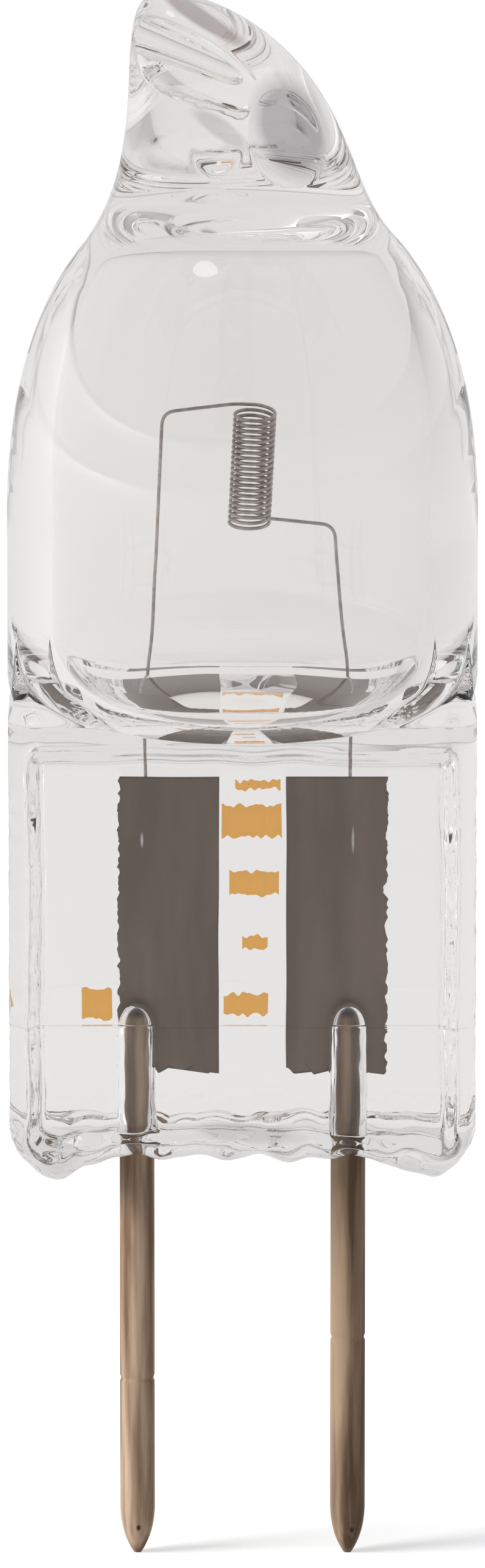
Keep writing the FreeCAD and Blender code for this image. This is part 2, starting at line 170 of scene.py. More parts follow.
# Glass colour, painted shade on the tip in its dent, along its groove and in its fold, and greyer glass
# along the lower edge.
# Each patch here and below is a centre, half sizes, a turn about the depth axis and a shade.
GLASS_COLOUR = (0.97, 0.955, 0.945)
GLASS_INDEX = 1.46
PATCH_CORE_SHARE = 0.62
PAINTED_TIP_SHADE_AND_GREY_EDGE = (
    # Painted shade in the dent on the front of the tip
    ((0.92, -1.2, 19.9), (0.8, 1.4, 1.15), math.radians(-22), (0.3, 0.28, 0.3)),
    # Painted shade along the groove on the slanted top of the tip
    ((-0.82, -0.6, 21.93), (1.3, 1.2, 0.17), math.radians(31), (0.32, 0.26, 0.25)),
    # Painted shade in the fold beside the dent
    ((-0.4, -1.5, 19.95), (0.75, 1.2, 0.22), math.radians(35), (0.6, 0.56, 0.56)),
    # Greyer glass along the lower edge, and a grey smudge above the middle of it
    ((0, 0, -0.15), (6, 3, 0.55), 0, (0.72, 0.675, 0.69)),
    ((0.1, -1.5, 0.62), (1.2, 1.2, 0.2), math.radians(4), (0.66, 0.62, 0.62)),
)

# Filament
WIRE_RADIUS = 0.032
COIL_RADIUS = 0.378
COIL_PITCH = 0.104
COIL_TURNS = 21
COIL_OFFSET = 0.125
COIL_ABOVE_FLOOR = 3.14
COIL_PLACE = Vector((COIL_OFFSET, 0, CAVITY_FLOOR + COIL_ABOVE_FLOOR))
COIL_LEAN_RIGHT = math.radians(3)
COIL_LEAN_FRONT = math.radians(6)
LEG_BEND_RADIUS = 0.25
LEG_SWEEP_RADIUS = 1.2
LEG_LONGEST_BEND_SHARE = 0.45
LEG_DROP = 0.14
LEG_FLOOR_SPREAD = 0.04
LEG_WELD_LENGTH = 1.2
LEG_WELD_DEPTH = 0.012
LEG_END = FOIL_TOP - LEG_WELD_LENGTH
LEG_DEPTH = FOIL_BACK + WIRE_RADIUS - LEG_WELD_DEPTH
LEFT_LEG_OFFSET = 0.41
LEFT_LEG_X = FOIL_LEFT_X - LEFT_LEG_OFFSET
LEFT_LEG_TOP_INSET = 0.3
LEFT_LEG_KINK_INSET = 0.1
LEFT_LEG_KINK_HEIGHT = 1.0
RIGHT_LEG_OFFSET = 0.24
RIGHT_LEG_X = FOIL_RIGHT_X + RIGHT_LEG_OFFSET
RIGHT_LEG_TOP_INSET = 0.27
RIGHT_LEG_KINK_INSET = 0.17
RIGHT_LEG_KINK_HEIGHT = 1.5

# Foil edges: a ragged outer side with fine fraying, and a torn lower edge
FOIL_RAG = 0.12
FOIL_RAG_FINENESS = 4
FOIL_RAG_SEED = 0.3
FOIL_FRAY = 0.05
FOIL_FRAY_FINENESS = 17
FOIL_FRAY_SEEDS = (2, 1)
FOIL_TEAR = 0.3
FOIL_TEAR_HEIGHT = 1
FOIL_TEAR_FINENESS = 3
FOIL_TEAR_SEED = 0.5

# Painted highlights on the foils where the wire ends are welded on from behind, in place of the light on the
# weld's bulge
WELD_BULGE_HIGHLIGHTS = (
    ((-1.9, 0, 6.05), (0.04, 0.5, 0.2), 0, (0.8, 0.76, 0.72)),
    ((2.09, 0, 6.05), (0.04, 0.5, 0.36), 0, (0.7, 0.66, 0.62)),
)

# Pins and the gap around them
CHANNEL_GAP = 0.03
CHANNEL_WAVES = 0.02
CHANNEL_FINENESS = 2
CHANNEL_LOW = 0.2
PIN_NOSE_LENGTH = 0.9
PIN_END_RADIUS = 0.07
NOSE_BEND_WIDTH_SHARE = 0.78
NOSE_BEND_HEIGHT_SHARE = 0.45
PIN_INNER_ROUNDING = 0.55
RING_WIDTH = 0.14
RING_DEPTH = 0.025
RING_LEFT_ABOVE_TIP = 3.45
RING_RIGHT_ABOVE_TIP = 4.25

# Dark places at the inner ends of the pins, and a small dark dot near each free end
DARK_END = ((0.5, 0.5, 0.3), 0, (0.07, 0.055, 0.05))
DARK_DOT = ((0.05, 0.2, 0.07), 0, (0.05, 0.03, 0.02))
PIN_MARKS = (
    ((-PIN_X, 0, PIN_TOP), *DARK_END),
    ((PIN_X, 0, PIN_TOP), *DARK_END),
    ((-1.98, -0.25, -7.4), *DARK_DOT),
    ((2.08, -0.25, -7.45), *DARK_DOT),
)

# Grain of the metals: where the noise starts and ends to change from the dark to the light colour
GRAIN_DETAIL = 6
GRAIN_DARK_TO = 0.38
GRAIN_LIGHT_FROM = 0.62

# Worn print: plain blocks of ink, each as left end, right end, middle height and half height
INK_COLOUR = (0.92, 0.48, 0.09)
INK_LIFT = 0.012
INK_THICKNESS = 0.006
INK_STEP = 0.02
INK_WEAR = 0.09
INK_WEAR_FINENESS = 9
INK_LOW_SEED = 1.3
INK_HIGH_SEED = 6.1
INK_BLOCKS = (
    (-0.15, 0.75, 6.97, 0.08),
    (-0.4, 0.75, 6.25, 0.3),
    (-0.25, 0.7, 5.05, 0.24),
    (0.0, 0.5, 3.9, 0.12),
    (-0.35, 0.5, 2.7, 0.2),
    (-3.05, -2.45, 2.7, 0.3),
)

# How fine the meshes are. Columns run around a piece, and rings or rows follow each other along it.
SEAL_COLUMNS = 256
BOTTOM_RINGS = 12
SEAL_RINGS = 70
JAW_LINE_RINGS = 13
SHOULDER_RINGS = 12
BOWL_RINGS = 30
TUBE_RINGS = 20
DOME_RINGS = 32
TIP_RINGS = 116
CAVITY_COLUMNS = 112
CAVITY_FLOOR_RINGS = 40
CAVITY_BOWL_RINGS = 36
CAVITY_WALL_RINGS = 8
CAVITY_DOME_RINGS = 32
ROOF_RINGS = 32
BORE_RINGS = 12
CHANNEL_COLUMNS = 48
CHANNEL_RINGS = 24
ROUNDED_END_RINGS = 16
PIN_COLUMNS = 64
PIN_NOSE_RINGS = 16
PIN_RINGS_BELOW_MARK = 20
PIN_RINGS_ABOVE_MARK = 40
COIL_STEPS = 40
WIRE_SIDES = 10
WIRE_BEND_STEPS = 9
FOIL_ROWS = 140
FOIL_COLUMNS = 48

# Camera
VIEW_ELEVATION = math.radians(13)
VIEW_DISTANCE = 300
VIEW_HEIGHT = 7.09
VIEW_NEAR = 10
VIEW_FAR = 20000
FRAME_HEIGHT = 29.61
SENSOR = 36

# Floor and room. The share in glass is how bright each one is by way of glass or metal.
FLOOR_HALF_SIZE = 4000
FLOOR_COLOUR = (0.8, 0.8, 0.8)
FLOOR_GLOW = 0.55
FLOOR_SHARE_IN_GLASS = 0.47
ROOM_FRONT = -0.95
ROOM_BACK = 0.2
ROOM_FRONT_LEVEL = 0.4
ROOM_LIGHT = 0.2
ROOM_SHARE_IN_GLASS = 0.7


def smoothstep(low, high, value):
    share = np.clip((value - low) / (high - low), 0, 1)
    return share * share * (3 - 2 * share)


def smooth_max(a, b, blend):
    # The larger of two values, with a rounded change from one to the other.
    near = np.clip(1 - np.abs(a - b) / blend, 0, 1)
    return np.maximum(a, b) + near * near * blend / 4


def grid_faces(levels, columns, first, inward):
    faces = []
    for level in range(levels - 1):
        for i in range(columns):
            j = (i + 1) % columns
            low = first + level * columns
            quad = (low + i, low + j, low + columns + j, low + columns + i)
            faces.append(quad[::-1] if inward else quad)
    return faces


def fan_faces(ring, columns, centre, flipped):
    faces = []
    for i in range(columns):
        corner = (ring + i, ring + (i + 1) % columns, centre)
        faces.append(corner[::-1] if flipped else corner)
    return faces


class Shell:
    # Collects rings of points and their faces, so that one mesh can have several closed surfaces.

    def __init__(self):
        self.points = []
        self.faces = []

    def add_rings(self, rings, inward=False, ladder=False):
        # The first ring is closed by a fan, or by a ladder of quads between its two halves.
        columns = len(rings[0])
        first = len(self.points)
        for ring in rings:
            self.points.extend(map(tuple, ring))
        self.faces += grid_faces(len(rings), columns, first, inward)
        if ladder:
            for i in range(columns // 2 - 1):
                far = columns - 1 - i
                self.faces.append((first + i, first + far, first + far - 1, first + i + 1))
        else:
            self.close(rings[0], first, not inward)
        self.close(rings[-1], first + (len(rings) - 1) * columns, inward)

    def close(self, ring, first, flipped):
        centre = len(self.points)
        self.points.append(tuple(np.mean(ring, axis=0)))
        self.faces += fan_faces(first, len(ring), centre, flipped)

    def piece(self, name, material):
        mesh = bpy.data.meshes.new(name)
        mesh.from_pydata([(x * MM, y * MM, z * MM) for x, y, z in self.points], [], self.faces)
        mesh.shade_smooth()
        mesh.materials.append(material)
        made = bpy.data.objects.new(name, mesh)
        bpy.context.scene.collection.objects.link(made)
        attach(made, "root")
        return made


# Glass


def seal_outline(count):
    # Points spread evenly along the seal's rounded outline, seen from above, starting at +X.
    straight_x = SEAL_HALF_WIDTH - RAIL_ROUNDING
    straight_y = RAIL_HALF_DEPTH - RAIL_ROUNDING
    bend = RAIL_ROUNDING * math.pi / 2
    quarter = straight_y + bend + straight_x
    points = []
    for i in range(count // 4):
        run = quarter * (i + 0.5) / (count // 4)
        angle = (min(max(run, straight_y), straight_y + bend) - straight_y) / RAIL_ROUNDING
        x = straight_x + RAIL_ROUNDING * math.cos(angle) - max(run - straight_y - bend, 0)
        y = min(run, straight_y) + RAIL_ROUNDING * math.sin(angle)
        points.append((x, y))
    points += [(-x, y) for x, y in reversed(points)]
    points += [(x, -y) for x, y in reversed(points)]
    return np.array(points)


OUTLINE = seal_outline(SEAL_COLUMNS)
EVEN_ANGLE = 2 * math.pi * (np.arange(SEAL_COLUMNS) + 0.5) / SEAL_COLUMNS


def waves(x, side, z, fineness):
    # Gentle random waves over one side of a surface, from -1 to 1.
    places = zip(x * fineness, side * SIDE_SEED, z * fineness)
    return np.array([noise.noise(Vector(place)) for place in places])


def panel_mask(x, side, z):
    # 1 on the sunk field between the rails, 0 on its wavering border.
    reach = SEAL_HALF_WIDTH - RAIL_WIDTH
    x = x + PANEL_SIDE_WAVER * waves(np.zeros(len(z)), side, z, PANEL_SIDE_FINENESS)
    z = z + PANEL_END_WAVER * waves(x, side, np.zeros(len(x)), PANEL_END_FINENESS)
    across = 1 - smoothstep(reach - PANEL_SLOPE, reach + PANEL_SLOPE, np.abs(x))
    low = smoothstep(PANEL_BOTTOM_BORDER - PANEL_SLOPE, PANEL_BOTTOM_BORDER + PANEL_SLOPE, z)
    top = SEAL_HEIGHT - PANEL_TOP_BORDER
    high = 1 - smoothstep(top - PANEL_SLOPE, top + PANEL_SLOPE, z)
    return across * low * high


def seal_bottom(x):
    # The lower edge: level in the middle, with a lobe under each rail that turns up again at its outer end.
    lobe_end = SEAL_HALF_WIDTH - LOBE_WIDTH
    lobe_low = SEAL_HALF_WIDTH - LOBE_LOW_SHARE * LOBE_WIDTH
    inner = -LOBE_DROP * smoothstep(lobe_end, lobe_low, np.abs(x))
    outer = 2 * LOBE_DROP * np.clip((np.abs(x) - lobe_low) / (SEAL_HALF_WIDTH - lobe_low), 0, 1) ** 2
    return inner + outer


def seal_ring(rise):
    # One ring of the press seal at a height above its lower edge.
    x = OUTLINE[:, 0].copy()
    fade = max(1 - rise / LOBE_FADE_HEIGHT, 0) ** 2
    z = rise + seal_bottom(x) * fade
    into_web = smoothstep(SEAL_HEIGHT, SEAL_HEIGHT + FLOOR_THICKNESS, rise)
    depth = RAIL_HALF_DEPTH + (WEB_HALF_DEPTH - RAIL_HALF_DEPTH) * into_web
    side = np.sign(OUTLINE[:, 1])
    depth = depth - (RAIL_HALF_DEPTH - PANEL_HALF_DEPTH) * panel_mask(x, side, z)
    depth = depth + PANEL_WAVES * waves(x, side, z, PANEL_WAVES_FINENESS) - PANEL_WAVES
    near_edge = 1 - smoothstep(EDGE_ROUGH_TO, EDGE_SMOOTH_FROM, rise)
    depth = depth + EDGE_ROUGHNESS * near_edge * waves(x, side, z, EDGE_DEPTH_FINENESS)
    depth = depth - JAW_LINE_DEPTH * (side < 0) * np.exp(-((z - JAW_LINE_HEIGHT) / JAW_LINE_WIDTH) ** 2)
    edge_waves = waves(x, np.zeros(len(x)), z, EDGE_HEIGHT_FINENESS)
    z = z + EDGE_ROUGHNESS * near_edge * (edge_waves + EDGE_LIFT_SHARE)
    y = OUTLINE[:, 1] / RAIL_HALF_DEPTH * depth
    short = max(RAIL_ROUNDING - rise, 0)
    lost = RAIL_ROUNDING - math.sqrt(RAIL_ROUNDING ** 2 - short ** 2)
    y = np.sign(y) * np.maximum(np.abs(y) - lost, LEAST_DEPTH_SHARE * np.abs(y))
    below_bowl = 1 - smoothstep(SEAL_HEIGHT - BOWL_RADIUS, SEAL_HEIGHT - PANEL_TOP_BORDER, rise)
    on_rail = smoothstep(SEAL_HALF_WIDTH - RAIL_WIDTH, SEAL_HALF_WIDTH, np.abs(x)) * below_bowl
    x = x - np.sign(x) * RAIL_ROUGHNESS * on_rail * np.abs(waves(y, np.sign(x), z, RAIL_FINENESS))
    web_half_width = math.sqrt(TUBE_RADIUS ** 2 - WEB_HALF_DEPTH ** 2)
    x = x * (1 + (web_half_width / SEAL_HALF_WIDTH - 1) * into_web)
    return x, y, z


def tube_ring(rise, tube_radius):
    # A ring of the seal, swollen to a round tube where the tube is larger.
    x, y, z = seal_ring(rise)
    reach = np.hypot(x, y)
    wider = np.minimum(smooth_max(reach, tube_radius, SHOULDER_BLEND), np.maximum(TUBE_RADIUS, reach))
    return np.stack([x * wider / reach, y * wider / reach, z], axis=1)


def round_ring(radius, height, angle):
    return np.stack([radius * np.cos(angle), radius * np.sin(angle), np.full(SEAL_COLUMNS, height)], axis=1)


def dome_radius(height):
    # The dome narrows along a superellipse.
    share = (height - DOME_START) / DOME_FULL_HEIGHT
    return TUBE_RADIUS * (1 - share ** DOME_SQUARENESS) ** (1 / DOME_SQUARENESS)


def tip_half_sizes(share):
    # Half width and half depth of the tip, which flares out into the dome at its foot.
    step = 0.01
    slope = (dome_radius(NECK_HEIGHT - step) - dome_radius(NECK_HEIGHT + step)) / (2 * step)
    flare = NECK_RADIUS - TIP_WIDTH / 2
    rounded = TIP_WIDTH / 2 * (1 - share ** TIP_BLUNTNESS) ** TIP_END_CURVE
    half_width = rounded + flare * math.exp(-slope * TIP_LENGTH / flare * share)
    return half_width, half_width * (1 - TIP_FLATTENING * share)


def tip_centre(share):
    return np.array([-TIP_LEAN * share ** TIP_LEAN_CURVE, 0, NECK_HEIGHT + TIP_LENGTH * share])


def tip_surface(place, side):
    # A place on the front (side -1) or back of the tip, and the direction straight out from it.
    share, across = place
    half_width, half_depth = tip_half_sizes(share)
    level = side * math.sqrt(1 - across ** 2)
    surface = tip_centre(share) + np.array([across * half_width, level * half_depth, 0])
    outward = np.array([across / half_width, level / half_depth, 0])
    return surface, outward / np.linalg.norm(outward)


def scooped(points, centres, radius, outward):
    # Points that lie inside a ball are moved inwards to the far side of the ball.
    off = points - centres
    along = off @ outward
    half_chord = radius ** 2 - np.sum(off ** 2, axis=1) + along ** 2
    depth = np.where(half_chord > 0, along + np.sqrt(np.maximum(half_chord, 0)), OUTSIDE_DENT)
    return points - smooth_max(depth, 0, DENT_BLEND)[:, None] * outward


def nipped(points, side):
    # The groove that the closing jaw left along the slanted top.
    start, start_out = tip_surface(NIP_START, side)
    end, end_out = tip_surface(NIP_END, side)
    outward = (start_out + end_out) / np.linalg.norm(start_out + end_out)
    away = outward * (NIP_RADIUS - NIP_DEPTH)
    run = end - start
    share = np.minimum((points - start - away) @ run / (run @ run), 1)
    return scooped(points, start + away + share[:, None] * run, NIP_RADIUS, outward)


def dented(points, place, radius, depth):
    # One round dent on the front of the tip.
    surface, outward = tip_surface(place, -1)
    return scooped(points, surface + outward * (radius - depth), radius, outward)


def tip_ring(share):
    # One ring of the tip, tilted more and more towards its end, with the groove and the dents cut in.
    half_width, half_depth = tip_half_sizes(share)
    across = half_width * np.cos(EVEN_ANGLE)
    tilt = TIP_TILT * share
    x = across * math.cos(tilt)
    y = half_depth * np.sin(EVEN_ANGLE)
    z = -across * math.sin(tilt)
    points = np.stack([x, y, z], axis=1) + tip_centre(share)
    points = nipped(nipped(points, -1), 1)
    points = dented(points, DENT_PLACE, DENT_RADIUS, DENT_DEPTH)
    return dented(points, FOLD_PLACE, FOLD_RADIUS, FOLD_DEPTH)


def bowl_bend(steps):
    # Shares out and up along the rounded corner of a bowl, which starts and ends without a sudden bend.
    bend = []
    for angle in np.linspace(0, math.pi / 2, steps)[1:]:
        power = 2 / BOWL_FULLNESS
        bend.append((math.sin(angle) ** power, 1 - max(math.cos(angle), 0) ** power))
    return bend


def seal_rings():
    # The seal, from its lower edge to the start of the shoulder.
    rings = []
    for rise in np.linspace(0, RAIL_ROUNDING, BOTTOM_RINGS):
        rings.append(tube_ring(rise, 0))
    rises = list(np.linspace(RAIL_ROUNDING, SEAL_HEIGHT - SHOULDER_RUN, SEAL_RINGS)[1:])
    widths_off = np.linspace(-JAW_LINE_REACH, JAW_LINE_REACH, JAW_LINE_RINGS)
    rises += list(JAW_LINE_HEIGHT + JAW_LINE_WIDTH * widths_off)
    for rise in sorted(rises):
        rings.append(tube_ring(rise, 0))
    return rings


def shoulder_rings():
    # The shoulder above the seal and the rounded bowl that the tube starts with.
    rings = []
    floor_edge = TUBE_RADIUS - BOWL_RADIUS
    for share in np.linspace(0, 1, SHOULDER_RINGS)[1:]:
        rise = SEAL_HEIGHT - SHOULDER_RUN + SHOULDER_RUN * share
        radius = SHOULDER_START_RADIUS + (floor_edge - SHOULDER_START_RADIUS) * share
        rings.append(tube_ring(rise, radius))
    for out, up in bowl_bend(BOWL_RINGS):
        rings.append(tube_ring(SEAL_HEIGHT + BOWL_RADIUS * up, floor_edge + BOWL_RADIUS * out))
    return rings


def tube_and_dome_rings(bowl_ring):
    # The columns go over from the bowl's spacing to an even one along the tube.
    rings = []
    bowl_angle = np.unwrap(np.arctan2(bowl_ring[:, 1], bowl_ring[:, 0]))
    tube_start = SEAL_HEIGHT + BOWL_RADIUS
    tube_heights = np.linspace(tube_start, DOME_START, TUBE_RINGS)[1:]
    dome_heights = np.linspace(DOME_START, NECK_HEIGHT, DOME_RINGS)[1:]
    for height in [*tube_heights, *dome_heights]:
        evenness = smoothstep(tube_start, DOME_START, height)
        angle = bowl_angle + evenness * (EVEN_ANGLE - bowl_angle)
        rings.append(round_ring(dome_radius(max(height, DOME_START)), height, angle))
    return rings


def outer_rings():
    # The outside of the glass, from the lower edge of the seal to the end of the tip.
    rings = seal_rings() + shoulder_rings()
    rings += tube_and_dome_rings(rings[-1])
    for share in TIP_END_SHARE * np.sin(np.linspace(0, math.pi / 2, TIP_RINGS))[1:]:
        rings.append(tip_ring(share))
    return rings


def plain_ring(radius, height, columns, x=0):
    angle = 2 * math.pi * np.arange(columns) / columns
    return np.stack([x + radius * np.cos(angle), radius * np.sin(angle), np.full(columns, height)], axis=1)


def crowned(ring):
    # The press pushes the middle of the cavity floor up into a low mound.
    along = np.clip(np.abs(ring[:, 0]) / CROWN_HALF_LENGTH, 0, 1)
    deep = np.clip(np.abs(ring[:, 1]) / CROWN_HALF_DEPTH, 0, 1)
    ring[:, 2] += CROWN_HEIGHT * (1 - smoothstep(CROWN_FLAT_SHARE, 1, along)) * (1 - deep ** CROWN_BLUNTNESS)
    return ring


def cavity_floor_rings(rounding):
    # The floor with its mound, and the rounded corner up to the wall.
    rings = []
    flat = CAVITY_RADIUS - rounding
    for radius in np.linspace(CAVITY_MIDDLE_SHARE, 1, CAVITY_FLOOR_RINGS) * flat:
        rings.append(crowned(plain_ring(radius, CAVITY_FLOOR, CAVITY_COLUMNS)))
    for out, up in bowl_bend(CAVITY_BOWL_RINGS):
        ring = plain_ring(flat + rounding * out, CAVITY_FLOOR + rounding * up, CAVITY_COLUMNS)
        rings.append(crowned(ring))
    return rings


def roof_rings(wall_radius, slope, wall_top):
    # The arched roof leaves the wall along its slope and ends in the remnant of the exhaust bore.
    rings = []
    corner = wall_radius + slope * (ROOF_CREST - wall_top)
    for share in np.linspace(0, 1, ROOF_RINGS)[1:]:
        rest = 1 - share
        radius = wall_radius * rest ** 2 + 2 * corner * share * rest + ROOF_FLAT_RADIUS * share ** 2
        height = ROOF_CREST - (ROOF_CREST - wall_top) * rest ** 2
        rings.append(plain_ring(radius, height, CAVITY_COLUMNS, -BORE_LEAN * share ** BORE_LEAN_CURVE))
    for share in np.linspace(0, 1, BORE_RINGS)[1:-1]:
        radius = ROOF_FLAT_RADIUS * math.sqrt(1 - share)
        height = ROOF_CREST + (CAVITY_TOP + BORE_LENGTH - ROOF_CREST) * share
        rings.append(plain_ring(radius, height, CAVITY_COLUMNS, -BORE_LEAN))
    return rings


def cavity_rings():
    # The hollow inside the tube and the dome, from its floor to the end of the bore.
    rounding = BOWL_RADIUS - FLOOR_THICKNESS
    rings = cavity_floor_rings(rounding)
    for height in np.linspace(CAVITY_FLOOR + rounding, DOME_START, CAVITY_WALL_RINGS)[1:]:
        rings.append(plain_ring(CAVITY_RADIUS, height, CAVITY_COLUMNS))
    top = CAVITY_TOP - ROOF_ROUNDING
    heights = np.linspace(DOME_START, top, CAVITY_DOME_RINGS)[1:]
    radii = []
    for height in heights:
        inset = WALL + (DOME_WALL - WALL) * (height - DOME_START) / (top - DOME_START)
        radii.append(dome_radius(height) - inset)
        rings.append(plain_ring(radii[-1], height, CAVITY_COLUMNS))
    slope = (radii[-1] - radii[-2]) / (heights[-1] - heights[-2])
    return rings + roof_rings(radii[-1], slope, top)


def channel_rings(x):
    # The narrow gap between a pin and the glass around it.
    radius = PIN_RADIUS + CHANNEL_GAP
    top = PIN_TOP + CHANNEL_GAP
    rings = [plain_ring(PIN_RADIUS / 2, CHANNEL_LOW, CHANNEL_COLUMNS, x)]
    for height in np.linspace(CHANNEL_LOW, top - PIN_INNER_ROUNDING, CHANNEL_RINGS):
        ring = plain_ring(1, height, CHANNEL_COLUMNS)
        bulges = np.abs(waves(ring[:, 0], x + ring[:, 1], ring[:, 2], CHANNEL_FINENESS))
        wavy = radius + CHANNEL_WAVES * bulges
        rings.append(np.stack([x + wavy * ring[:, 0], wavy * ring[:, 1], ring[:, 2]], axis=1))
    for angle in np.linspace(0, math.pi / 2, ROUNDED_END_RINGS)[1:-1]:
        height = top - PIN_INNER_ROUNDING * (1 - math.sin(angle))
        rings.append(plain_ring(radius * math.cos(angle), height, CHANNEL_COLUMNS, x))
    return rings


def make_glass(material):
    shell = Shell()
    shell.add_rings(outer_rings(), ladder=True)
    shell.add_rings(cavity_rings(), inward=True)
    for x in (-PIN_X, PIN_X):
        shell.add_rings(channel_rings(x), inward=True)
    glass = shell.piece("glass", material)
    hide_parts("glass_envelope")


# Filament


def coil_point(turn, height):
    # A point of the coil, which leans to the right and to the front.
    angle = 2 * math.pi * turn
    point = Vector((-COIL_RADIUS * math.sin(angle), COIL_RADIUS * math.cos(angle), height))
    y = point.y * math.cos(COIL_LEAN_FRONT) - point.z * math.sin(COIL_LEAN_FRONT)
    z = point.y * math.sin(COIL_LEAN_FRONT) + point.z * math.cos(COIL_LEAN_FRONT)
    x = point.x * math.cos(COIL_LEAN_RIGHT) + z * math.sin(COIL_LEAN_RIGHT)
    z = z * math.cos(COIL_LEAN_RIGHT) - point.x * math.sin(COIL_LEAN_RIGHT)
    return COIL_PLACE + Vector((x, y, z))


def rounded_path(points, radii):
    # Straight runs joined by smooth bends.
    path = [points[0]]
    for before, corner, after, radius in zip(points, points[1:], points[2:], radii):
        longest_in = LEG_LONGEST_BEND_SHARE * (before - corner).length
        longest_out = LEG_LONGEST_BEND_SHARE * (after - corner).length
        reach = min(radius, longest_in, longest_out)
        start = corner + (before - corner).normalized() * reach
        end = corner + (after - corner).normalized() * reach
        for share in np.linspace(0, 1, WIRE_BEND_STEPS):
            path.append(start.lerp(corner, share).lerp(corner.lerp(end, share), share))
    path.append(points[-1])
    return path


def leg_path(turn, sign, foil_x, outward, top_inset, kink_inset, kink_height):
    # One leg, from its end of the coil out and down through the floor to the weld on its foil.
    step = 0.01
    start = coil_point(turn, turn * COIL_PITCH)
    run = (coil_point(turn + step, turn * COIL_PITCH) - start).normalized() * sign
    top = Vector((foil_x - outward * top_inset, start.y, start.z - LEG_DROP))
    kink = Vector((foil_x - outward * kink_inset, LEG_DEPTH, CAVITY_FLOOR + kink_height))
    floor = Vector((foil_x + outward * LEG_FLOOR_SPREAD, LEG_DEPTH, CAVITY_FLOOR))
    foil_edge = Vector((foil_x, LEG_DEPTH, FOIL_TOP))
    end = Vector((foil_x, LEG_DEPTH, LEG_END))
    corners = [start, start + run * COIL_RADIUS, top, kink, floor, foil_edge, end]
    sweeps = [LEG_SWEEP_RADIUS, LEG_SWEEP_RADIUS, LEG_BEND_RADIUS]
    return rounded_path(corners, [LEG_BEND_RADIUS, LEG_BEND_RADIUS] + sweeps)


def wire_rings(path, radius, sides):
    # Rings around a path that don't twist from one to the next.
    rings = []
    side = (path[1] - path[0]).orthogonal().normalized()
    for i, point in enumerate(path):
        along = (path[min(i + 1, len(path) - 1)] - path[max(i - 1, 0)]).normalized()
        side = (side - along * side.dot(along)).normalized()
        other = along.cross(side)
        ring = []
        for j in range(sides):
            angle = 2 * math.pi * j / sides
            ring.append(point + (side * math.cos(angle) + other * math.sin(angle)) * radius)
        rings.append(np.array(ring))
    return rings


def make_filament(material):
    turns = [i / COIL_STEPS for i in range(COIL_TURNS * COIL_STEPS + 1)]
    coil = [coil_point(turn, turn * COIL_PITCH) for turn in turns]
    left_shape = (LEFT_LEG_TOP_INSET, LEFT_LEG_KINK_INSET, LEFT_LEG_KINK_HEIGHT)
    left = leg_path(COIL_TURNS, 1, LEFT_LEG_X, -1, *left_shape)
    right_shape = (RIGHT_LEG_TOP_INSET, RIGHT_LEG_KINK_INSET, RIGHT_LEG_KINK_HEIGHT)
    right = leg_path(0, -1, RIGHT_LEG_X, 1, *right_shape)
    path = right[::-1] + coil[1:] + left[1:]
    shell = Shell()
    shell.add_rings(wire_rings(path, WIRE_RADIUS, WIRE_SIDES))
    wire = shell.piece("filament_wire", material)
    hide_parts("filament")


# Foils and pins


def foil_rag(z, outward):
    # How far the outer side of a foil is eaten away at a height.
    rag = FOIL_RAG * abs(noise.noise(Vector((z * FOIL_RAG_FINENESS, outward, FOIL_RAG_SEED))))
    fray = FOIL_FRAY * abs(noise.noise(Vector((z * FOIL_FRAY_FINENESS, *FOIL_FRAY_SEEDS))))
    return rag + fray


def make_foil(name, node, x_middle, outward, material):
    rings = []
    for z in np.linspace(FOIL_BOTTOM, FOIL_TOP, FOIL_ROWS):
        rag = foil_rag(z, outward)
        left = -FOIL_HALF_WIDTH + (rag if outward < 0 else 0)
        right = FOIL_HALF_WIDTH - (rag if outward > 0 else 0)
        torn = FOIL_TEAR * max(1 - (z - FOIL_BOTTOM) / FOIL_TEAR_HEIGHT, 0) ** 2
        front = []
        for x in np.linspace(left, right, FOIL_COLUMNS):
            up = torn * abs(noise.noise(Vector((x * FOIL_TEAR_FINENESS, outward, FOIL_TEAR_SEED))))
            front.append((x_middle + x, FOIL_FRONT, z + up))
        back = [(x, FOIL_BACK, height) for x, _, height in reversed(front)]
        rings.append(np.array(front + back))
    shell = Shell()
    shell.add_rings(rings)
    foil = shell.piece(name, material)
    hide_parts(node)


def pin_nose():
    # Radii and heights along the bullet nose, a curve that passes through its named bend.
    pull_radius = 2 * NOSE_BEND_WIDTH_SHARE * PIN_RADIUS - (PIN_END_RADIUS + PIN_RADIUS) / 2
    pull_height = (2 * NOSE_BEND_HEIGHT_SHARE - 0.5) * PIN_NOSE_LENGTH
    nose = [(PIN_END_RADIUS, PIN_TIP)]
    for share in np.linspace(0, 1, PIN_NOSE_RINGS)[1:]:
        middle = 2 * share * (1 - share)
        reach = PIN_END_RADIUS * (1 - share) ** 2 + pull_radius * middle + PIN_RADIUS * share ** 2
        nose.append((reach, PIN_TIP + pull_height * middle + PIN_NOSE_LENGTH * share ** 2))
    return nose


